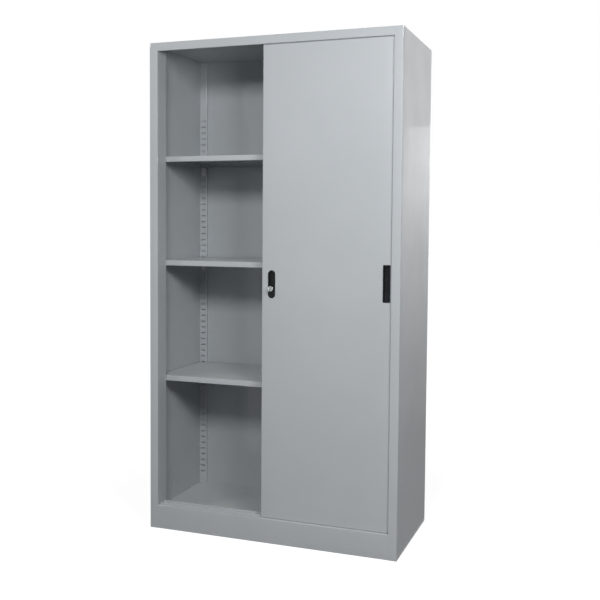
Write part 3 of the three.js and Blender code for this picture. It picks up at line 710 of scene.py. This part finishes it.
def lock_key():
    """A flat key: blade with a few cuts, and a round-cornered bow with a ring hole."""
    lo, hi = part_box("lock_key")
    centre = middle_of("lock_plunger")
    bow = rounded(lo.y + KEY_BOW_LENGTH / 2, centre.z, KEY_BOW_LENGTH, hi.z - lo.z, KEY_BOW_CORNER, 8)
    key = prism(bow, X, lo.x, hi.x)
    start = lo.y + KEY_BOW_LENGTH - KEY_BOW_CORNER / 2
    bottom = [(start, centre.z - KEY_BLADE_HALF), (hi.y - KEY_TIP, centre.z - KEY_BLADE_HALF), (hi.y, centre.z)]
    top = [(hi.y - KEY_TIP_STEP - back, centre.z + KEY_BLADE_HALF - drop) for back, drop in KEY_CUTS]
    blade = prism(bottom + top + [(start, centre.z + KEY_BLADE_HALF)], X, lo.x, hi.x)
    hole = [(lo.y + KEY_BOW_CORNER + KEY_HOLE_RADIUS * math.cos(k * math.pi / 16),
             centre.z + KEY_HOLE_RADIUS * math.sin(k * math.pi / 16)) for k in range(32)]
    ring_hole = prism(hole, X, lo.x - OVERRUN, hi.x + OVERRUN)
    mesh = boolean(boolean(key, [blade], "UNION"), [ring_hole], "DIFFERENCE")
    stand_for("lock_key", softened(mesh, KEY_EDGE, 2, 50))


def roller(name):
    lo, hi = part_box(name)
    centre = (lo + hi) / 2
    radius = (hi.x - lo.x) / 2
    half = (hi.y - lo.y) / 2 - HUB_PROUD
    groove, floor, mouth, hub, bore = 0.010, 0.002, 0.0035, 0.0055, 0.0033
    edge = 0.0005
    profile = [(bore, -half - HUB_PROUD), (bore, half + HUB_PROUD), (hub, half + HUB_PROUD), (hub, half),
               (radius - edge, half), (radius, half - edge), (radius, mouth), (groove, floor),
               (groove, -floor), (radius, -mouth), (radius, edge - half), (radius - edge, -half),
               (hub, -half), (hub, -half - HUB_PROUD)]
    stand_for(name, turned([(r, centre.y + y) for r, y in profile], centre, 64))


def roller_axle(name):
    lo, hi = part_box(name)
    centre = (lo + hi) / 2
    head, shaft, thick, dome = (hi.x - lo.x) / 2, 0.003, 0.0012, 0.0005
    profile = [(0, lo.y), (head - 2 * dome, lo.y), (head, lo.y + dome), (head, lo.y + thick),
               (shaft, lo.y + thick), (shaft, hi.y - thick), (head, hi.y - thick), (head, hi.y - dome),
               (head - 2 * dome, hi.y), (0, hi.y)]
    stand_for(name, turned(profile, centre, 48))


def strike_windows():
    face = door_face("left_door")
    lock = middle_of("lock_plunger")
    travel = Vector((travel_of("left_door_slide"), 0, 0))
    return [round_prism(centre, STRIKE_RADIUS, face - OVERRUN, face + SHEET + OVERRUN)
            for centre in (lock, lock + travel)]


def travel_of(joint):
    found = next(j for j in frame["joints"] if j["name"] == joint)
    return found["range_m"][1] - found["range_m"][0]


for side_name, side in (("left", -1), ("right", 1)):
    side_panel(side_name + "_side_panel", side)
    upright(side_name + "_front_upright", side, False)
    upright(side_name + "_rear_upright", side, True)
top_panel()
back_panel()
floor_pan()
front_plinth()
for count, level in enumerate(("upper", "middle", "lower")):
    shelf(level + "_shelf", RIPPLE_SEED["shelf"] + SHELF_SEED_STEP * count)
door_panel("right_door", [pull_window("right_door"), lock_window()])
door_panel("left_door", [pull_window("left_door"), *strike_windows()])
for prefix in ("right_door", "left_door"):
    finger_pull(prefix)
    for end in ("left", "right"):
        roller(f"{prefix}_roller_{end}")
        roller_axle(f"{prefix}_roller_axle_{end}")
lock_housing()
lock_plunger()
lock_core()
lock_key()

# CAD pieces that stay as they are get their finish
for name, piece in frame["nodes"].items():
    piece.data.materials.clear()
    piece.data.materials.append(finishes[slot_of[name]])


# Camera, as worked out from the photograph's six outer corners
IMAGE = 600
FOCAL_PIXELS = 880.4
CAMERA_PLACE = Vector((1.168, -3.097, 1.143))
YAW, PITCH, ROLL = (math.radians(a) for a in (20.09, 3.14, 0.44))
PRINCIPAL_POINT = (300.0, 272.6)
SENSOR = 36.0


def camera():
    data = bpy.data.cameras.new("camera")
    data.sensor_width = SENSOR
    data.lens = FOCAL_PIXELS * SENSOR / IMAGE
    data.shift_x = (IMAGE / 2 - PRINCIPAL_POINT[0]) / IMAGE
    data.shift_y = (PRINCIPAL_POINT[1] - IMAGE / 2) / IMAGE
    forward = Vector((-math.sin(YAW) * math.cos(PITCH), math.cos(YAW) * math.cos(PITCH), -math.sin(PITCH)))
    right = Vector((math.cos(YAW), math.sin(YAW), 0))
    up = right.cross(forward)
    rolled_right = right * math.cos(ROLL) + up * math.sin(ROLL)
    rolled_up = up * math.cos(ROLL) - right * math.sin(ROLL)
    turn = Matrix((rolled_right, rolled_up, -forward)).transposed().to_4x4()
    made = bpy.data.objects.new("camera", data)
    made.matrix_world = Matrix.Translation(CAMERA_PLACE) @ turn
    bpy.context.scene.collection.objects.link(made)
    bpy.context.scene.camera = made


# Lamps: name, place, what each is turned to, its width and height, and its power. Their powers were
# fitted to the brightness of the cabinet's front in the photograph
LAMPS = (("front_high", (0.504, -2.856, 2.3), (0, 0, 0.9), 0.5, 34.2),
         ("front_near", (1.09, -1.56, 1.65), (0, 0, 1.2), 0.4, 8.2),
         ("front_right", (2.05, -2.05, 1.75), (0, 0, 0.9), 0.5, 13.4),
         ("front_left", (-2.05, -2.05, 2.5), (0, 0, 0.9), 0.5, 11.5))


def area_light(name, place_at, target, size, power):
    data = bpy.data.lights.new(name, "AREA")
    data.shape = "RECTANGLE"
    data.size = size
    data.size_y = size
    data.energy = power
    made = bpy.data.objects.new(name, data)
    made.location = place_at
    made.rotation_euler = (Vector(target) - Vector(place_at)).to_track_quat("-Z", "Y").to_euler()
    bpy.context.scene.collection.objects.link(made)


def background_rays(tree):
    """1 for the rays that show the background: from the camera, off gloss and through glass."""
    path = tree.nodes.new("ShaderNodeLightPath")
    shown = path.outputs["Is Camera Ray"]
    for ray in ("Is Glossy Ray", "Is Transmission Ray"):
        either = tree.nodes.new("ShaderNodeMath")
        either.operation = "MAXIMUM"
        tree.links.new(shown, either.inputs[0])
        tree.links.new(path.outputs[ray], either.inputs[1])
        shown = either.outputs["Value"]
    return shown


FLOOR_NEAR_GLOW = 0.86
FLOOR_NEAR, FLOOR_FAR = 0.8, 2.2


def floor_material():
    """Pale floor, white to the camera but for the object's shadow."""
    made, tree, shader = material("floor")
    grain = noise_node(tree, 40.0, 3).outputs["Fac"]
    colour = mixed_colour(tree, grain, (0.33, 0.33, 0.33), (0.37, 0.37, 0.37))
    tree.links.new(colour, shader.inputs["Base Color"])
    shader.inputs["Roughness"].default_value = 0.9
    shader.inputs["Specular IOR Level"].default_value = 0.0
    where = tree.nodes.new("ShaderNodeTexCoord")
    distance = tree.nodes.new("ShaderNodeVectorMath")
    distance.operation = "LENGTH"
    tree.links.new(where.outputs["Object"], distance.inputs[0])
    white = ramp_between(tree, distance.outputs["Value"], FLOOR_NEAR_GLOW, 1.0, FLOOR_NEAR, FLOOR_FAR)
    strength = tree.nodes.new("ShaderNodeMath")
    strength.operation = "MULTIPLY"
    tree.links.new(white, strength.inputs[0])
    tree.links.new(background_rays(tree), strength.inputs[1])
    glow = tree.nodes.new("ShaderNodeEmission")
    tree.links.new(strength.outputs["Value"], glow.inputs["Strength"])
    add = tree.nodes.new("ShaderNodeAddShader")
    tree.links.new(shader.outputs["BSDF"], add.inputs[0])
    tree.links.new(glow.outputs["Emission"], add.inputs[1])
    tree.links.new(add.outputs["Shader"], tree.nodes["Material Output"].inputs["Surface"])
    return made


def floor():
    mesh = bpy.data.meshes.new("floor")
    reach = 30.0
    mesh.from_pydata([(-reach, -reach, 0), (reach, -reach, 0), (reach, reach, 0), (-reach, reach, 0)], [],
                     [(0, 1, 2, 3)])
    mesh.materials.append(floor_material())
    made = link("floor", mesh)


AMBIENT = 0.135


def world():
    """A pale studio all round, white where it shows."""
    made = bpy.data.worlds.new("studio")
    made.use_nodes = True
    bpy.context.scene.world = made
    tree = made.node_tree
    around = tree.nodes["Background"]
    around.inputs["Color"].default_value = (1.0, 1.0, 1.0, 1)
    around.inputs["Strength"].default_value = AMBIENT
    white = tree.nodes.new("ShaderNodeBackground")
    white.inputs["Color"].default_value = (1, 1, 1, 1)
    white.inputs["Strength"].default_value = 1.0
    mix = tree.nodes.new("ShaderNodeMixShader")
    tree.links.new(background_rays(tree), mix.inputs["Fac"])
    tree.links.new(around.outputs["Background"], mix.inputs[1])
    tree.links.new(white.outputs["Background"], mix.inputs[2])
    tree.links.new(mix.outputs["Shader"], tree.nodes["World Output"].inputs["Surface"])


# A pale wall with a window behind the cabinet, curved into a low sweep over the floor: the gloss of
# the side panel shows both. Their glow by height was fitted to how bright that panel is in the
# photograph, from its top down
WALL_Y = 1.85
WALL_X = (0.478, 1.5)
WALL_TOP = 2.6
SWEEP_FRONT = -0.7
SWEEP_RADIUS = 0.15
SWEEP_HEIGHT = 0.002
SWEEP_STEPS = 8
WALL_GLOW = ((0.0, 0.34), (0.11, 0.44), (0.30, 0.51), (0.39, 0.54), (0.48, 0.62), (0.67, 0.83), (0.85, 1.05),
             (0.94, 1.11), (1.04, 1.26), (1.12, 1.46), (1.25, 1.52), (1.34, 1.66))
WINDOW_RIGHT = 0.94
WINDOW_SOFTNESS = 0.004
WINDOW_GLOW = ((1.12, 0.0), (1.22, 0.31), (1.31, 0.44), (1.40, 0.57), (1.46, 0.72), (1.51, 0.92), (1.56, 0.87),
               (1.694, 0.87), (1.70, 0.0))
GLOW_SCALE = 4.0


def glow_ramp(tree, height, stops):
    """Strength by height: a ramp of grey, in parts of the glow scale."""
    made = tree.nodes.new("ShaderNodeValToRGB")
    tree.links.new(height, made.inputs["Fac"])
    elements = made.color_ramp.elements
    while len(elements) < len(stops):
        elements.new(1.0)
    for element, (z, strength) in zip(elements, stops):
        element.position = z / WALL_TOP
        element.color = (*[strength / GLOW_SCALE] * 3, 1)
    return made.outputs["Color"]


def studio_wall():
    mesh = bpy.data.meshes.new("studio_wall")
    top = WALL_TOP
    turns = [math.pi / 2 * step / SWEEP_STEPS for step in range(SWEEP_STEPS + 1)]
    profile = [(SWEEP_FRONT, SWEEP_HEIGHT)]
    profile += [(WALL_Y - SWEEP_RADIUS + SWEEP_RADIUS * math.sin(turn),
                 SWEEP_HEIGHT + SWEEP_RADIUS - SWEEP_RADIUS * math.cos(turn)) for turn in turns]
    profile += [(WALL_Y, top)]
    corners = [(x, y, z) for y, z in profile for x in WALL_X]
    faces = [(2 * n, 2 * n + 1, 2 * n + 3, 2 * n + 2) for n in range(len(profile) - 1)]
    mesh.from_pydata(corners, [], faces)
    made, tree, _ = material("studio_wall")
    where = tree.nodes.new("ShaderNodeTexCoord")
    split = tree.nodes.new("ShaderNodeSeparateXYZ")
    tree.links.new(where.outputs["Object"], split.inputs["Vector"])
    height = ramp_between(tree, split.outputs["Z"], 0.0, 1.0, 0.0, top)
    beside = ramp_between(tree, split.outputs["X"], 1.0, 0.0, WINDOW_RIGHT - WINDOW_SOFTNESS,
                          WINDOW_RIGHT + WINDOW_SOFTNESS)
    window = tree.nodes.new("ShaderNodeMath")
    window.operation = "MULTIPLY"
    tree.links.new(glow_ramp(tree, height, WINDOW_GLOW), window.inputs[0])
    tree.links.new(beside, window.inputs[1])
    both = tree.nodes.new("ShaderNodeMath")
    both.operation = "ADD"
    tree.links.new(glow_ramp(tree, height, WALL_GLOW), both.inputs[0])
    tree.links.new(window.outputs["Value"], both.inputs[1])
    strength = tree.nodes.new("ShaderNodeMath")
    strength.operation = "MULTIPLY"
    strength.inputs[1].default_value = GLOW_SCALE
    tree.links.new(both.outputs["Value"], strength.inputs[0])
    glow = tree.nodes.new("ShaderNodeEmission")
    tree.links.new(strength.outputs["Value"], glow.inputs["Strength"])
    tree.links.new(glow.outputs["Emission"], tree.nodes["Material Output"].inputs["Surface"])
    mesh.materials.append(made)
    wall = link("studio_wall", mesh)
    wall.visible_camera = False
    wall.visible_shadow = False


bpy.context.scene.view_settings.view_transform = "Standard"
camera()
floor()
studio_wall()
world()
for lamp in LAMPS:
    area_light(*lamp)
